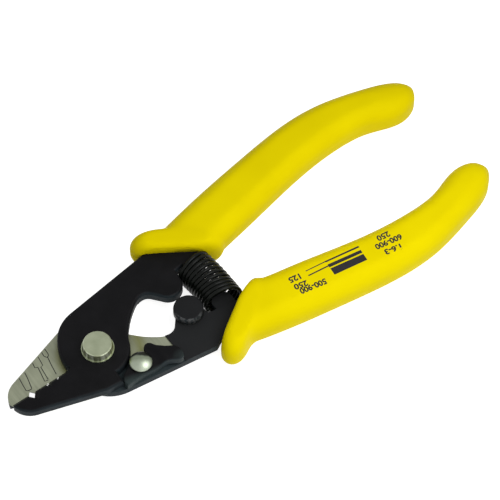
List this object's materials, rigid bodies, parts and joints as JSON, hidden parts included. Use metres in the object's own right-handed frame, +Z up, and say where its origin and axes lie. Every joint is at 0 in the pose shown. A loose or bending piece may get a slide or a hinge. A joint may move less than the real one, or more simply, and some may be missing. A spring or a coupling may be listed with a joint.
{
  "type": "fibre stripper",
  "caption": "Plier-type fibre stripper with notched lapped jaws, coil return spring, swinging latch and moulded grips, shown closed and latched.",
  "frame": {"origin": "centre of the whole footprint, on the plane that both grips lie on", "axes": "+X from the pivot to the handle ends, +Y to the upper handle, +Z up out of the face that carries the latch"},
  "size_m": [0.1642, 0.0636, 0.0136],
  "materials": {
    "blackened_steel": "black oxide on stamped steel, satin, with the lapped faces ground bright",
    "yellow_vinyl": "moulded yellow vinyl, soft sheen",
    "turned_steel": "turned and plated steel, matt top with faint turning marks",
    "latch_steel": "black oxide on pressed steel",
    "bright_steel": "bright nickel-plated dome",
    "spring_steel": "black oiled spring wire"
  },
  "bodies": {
    "rear": {"rear_arm": "blackened_steel", "lower_grip": "yellow_vinyl", "pivot_bolt": "turned_steel", "pivot_washer": "turned_steel", "pivot_nut": "turned_steel", "latch_rivet": "bright_steel", "stop_stud": "blackened_steel", "return_spring": "spring_steel"},
    "front": {"front_arm": "blackened_steel", "upper_grip": "yellow_vinyl"},
    "latch": {"latch_lever": "latch_steel"}
  },
  "joints": [
    {"name": "handle_open", "type": "hinge", "parent": "rear", "child": "front", "pos_m": [-0.0512, 0, 0.0068], "axis": [0, 0, 1], "range_deg": [0, 14], "deforming": ["return_spring"]},
    {"name": "latch_swing", "type": "hinge", "parent": "rear", "child": "latch", "pos_m": [-0.0436, -0.0114, 0.0068], "axis": [0, 0, 1], "range_deg": [0, 36]}
  ],
  "couplings": [
    {"joint": "latch_swing", "follows": "handle_open", "ratio": 2.57}
  ]
}
